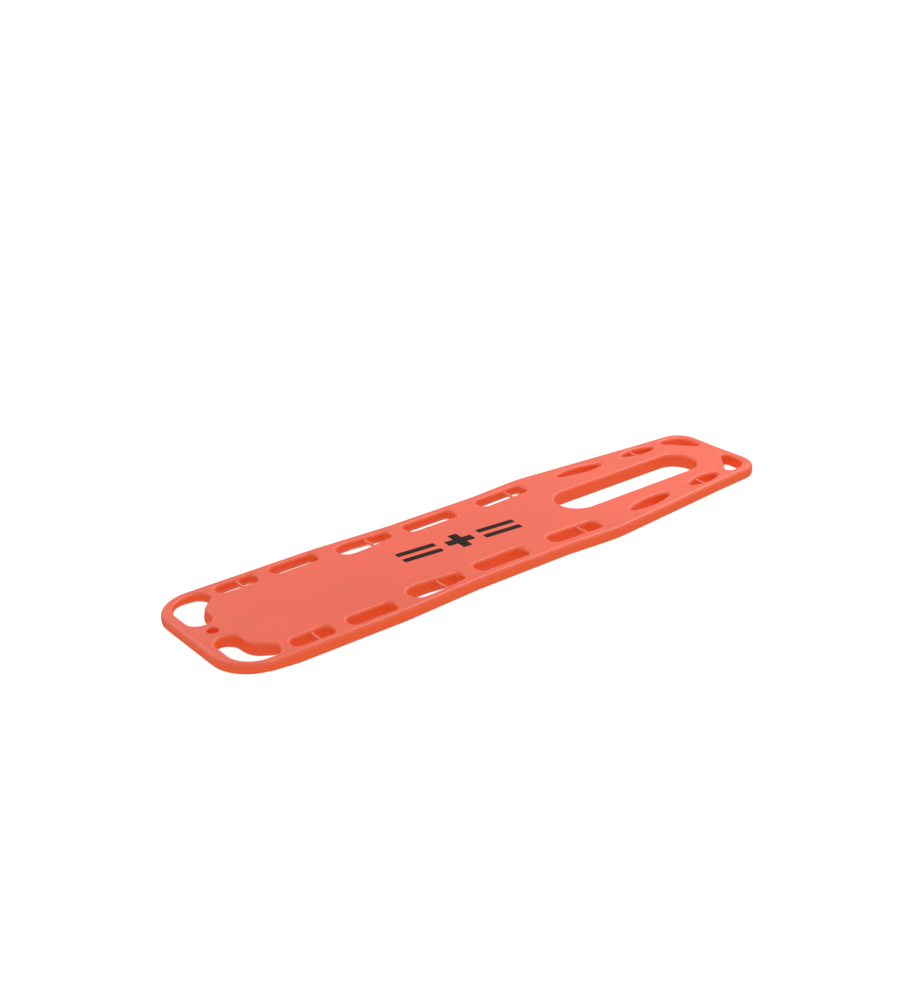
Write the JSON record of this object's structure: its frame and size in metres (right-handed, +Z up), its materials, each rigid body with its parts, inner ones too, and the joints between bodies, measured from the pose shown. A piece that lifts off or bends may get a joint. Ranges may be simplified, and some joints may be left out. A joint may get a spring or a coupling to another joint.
{
  "type": "spine board",
  "caption": "Rigid hollow carrying board with rows of side grips, corner grips, fixed strap pins and a long leg opening.",
  "frame": {"origin": "on the floor plane the runners stand on, under the middle of the bounding box", "axes": "+X along the board toward the foot end, +Y to the left row of grips when looking toward the foot end, +Z up through the top face"},
  "size_m": [1.84, 0.45, 0.045],
  "materials": {
    "skin_plastic": "satin",
    "pin_plastic": "satin",
    "foam": "matte",
    "stiffener_tube": "satin",
    "plug_plastic": "satin",
    "black_print": "matte"
  },
  "bodies": {
    "root": {"board_shell": "skin_plastic", "foam_core": "foam", "strap_pin_r1": "pin_plastic", "strap_pin_r2": "pin_plastic", "strap_pin_r3": "pin_plastic", "strap_pin_r4": "pin_plastic", "strap_pin_l1": "pin_plastic", "strap_pin_l2": "pin_plastic", "strap_pin_l3": "pin_plastic", "strap_pin_l4": "pin_plastic", "stiffener_r": "stiffener_tube", "stiffener_l": "stiffener_tube", "fill_plug": "plug_plastic", "vent_plug_head": "plug_plastic", "vent_plug_foot": "plug_plastic", "printed_mark": "black_print"}
  },
  "joints": []
}
